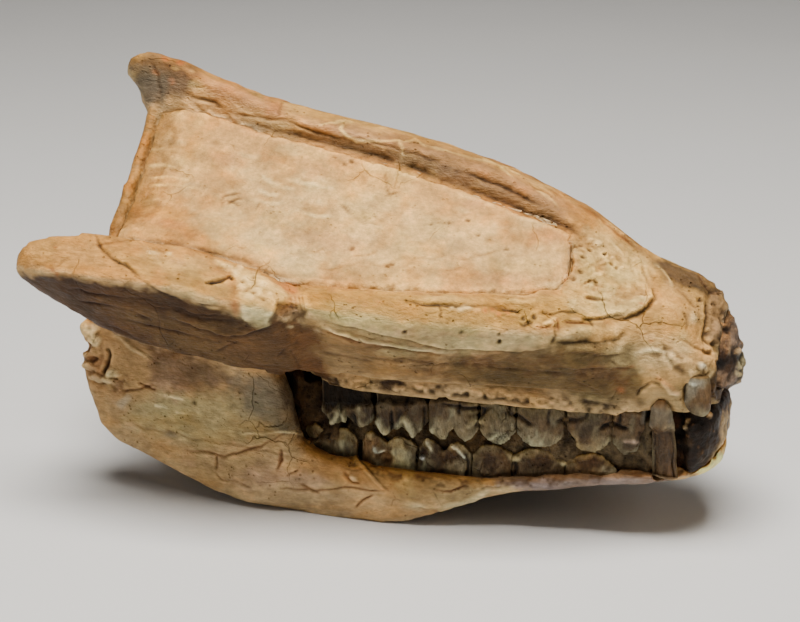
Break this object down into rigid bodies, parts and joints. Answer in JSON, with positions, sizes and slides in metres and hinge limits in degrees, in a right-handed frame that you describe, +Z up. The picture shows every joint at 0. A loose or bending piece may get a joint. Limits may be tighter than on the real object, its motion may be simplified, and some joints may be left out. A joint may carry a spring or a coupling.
{
  "type": "fossil merycoidodon skull",
  "caption": "Fossil skull of an oreodont with its jaws closed and stone filling its temples, eye sockets, mouth and nose. It rests on the lower edge of its jaw.",
  "frame": {"origin": "bottom centre of the bounding box, on the plane that the lower jaw rests on", "axes": "+X forwards to the snout, +Y to the animal's left, +Z up"},
  "size_m": [0.1968, 0.1296, 0.1267],
  "materials": {
    "fossil_bone": "satin, tan to brown mineralised bone with fine cracks",
    "temple_stone": "smooth matt, pale buff stone with cream flecks",
    "dark_stone": "rough, dark brown stone with light grains",
    "tooth_enamel": "semi-gloss, brown to grey mineralised enamel"
  },
  "bodies": {
    "root": {"cranium": "fossil_bone", "lower_jaw": "fossil_bone", "right_temple_matrix": "temple_stone", "left_temple_matrix": "temple_stone", "jaw_matrix": "dark_stone", "nose_matrix": "dark_stone", "upper_right_canine": "tooth_enamel", "upper_right_premolar_1": "tooth_enamel", "upper_right_premolar_2": "tooth_enamel", "upper_right_premolar_3": "tooth_enamel", "upper_right_premolar_4": "tooth_enamel", "upper_right_molar_1": "tooth_enamel", "upper_right_molar_2": "tooth_enamel", "upper_right_molar_3": "tooth_enamel", "lower_right_premolar_1": "tooth_enamel", "lower_right_premolar_2": "tooth_enamel", "lower_right_premolar_3": "tooth_enamel", "lower_right_premolar_4": "tooth_enamel", "lower_right_molar_1": "tooth_enamel", "lower_right_molar_2": "tooth_enamel", "lower_right_molar_3": "tooth_enamel", "upper_left_canine": "tooth_enamel", "upper_left_premolar_1": "tooth_enamel", "upper_left_premolar_2": "tooth_enamel", "upper_left_premolar_3": "tooth_enamel", "upper_left_premolar_4": "tooth_enamel", "upper_left_molar_1": "tooth_enamel", "upper_left_molar_2": "tooth_enamel", "upper_left_molar_3": "tooth_enamel", "lower_left_premolar_1": "tooth_enamel", "lower_left_premolar_2": "tooth_enamel", "lower_left_premolar_3": "tooth_enamel", "lower_left_premolar_4": "tooth_enamel", "lower_left_molar_1": "tooth_enamel", "lower_left_molar_2": "tooth_enamel", "lower_left_molar_3": "tooth_enamel"}
  },
  "joints": []
}
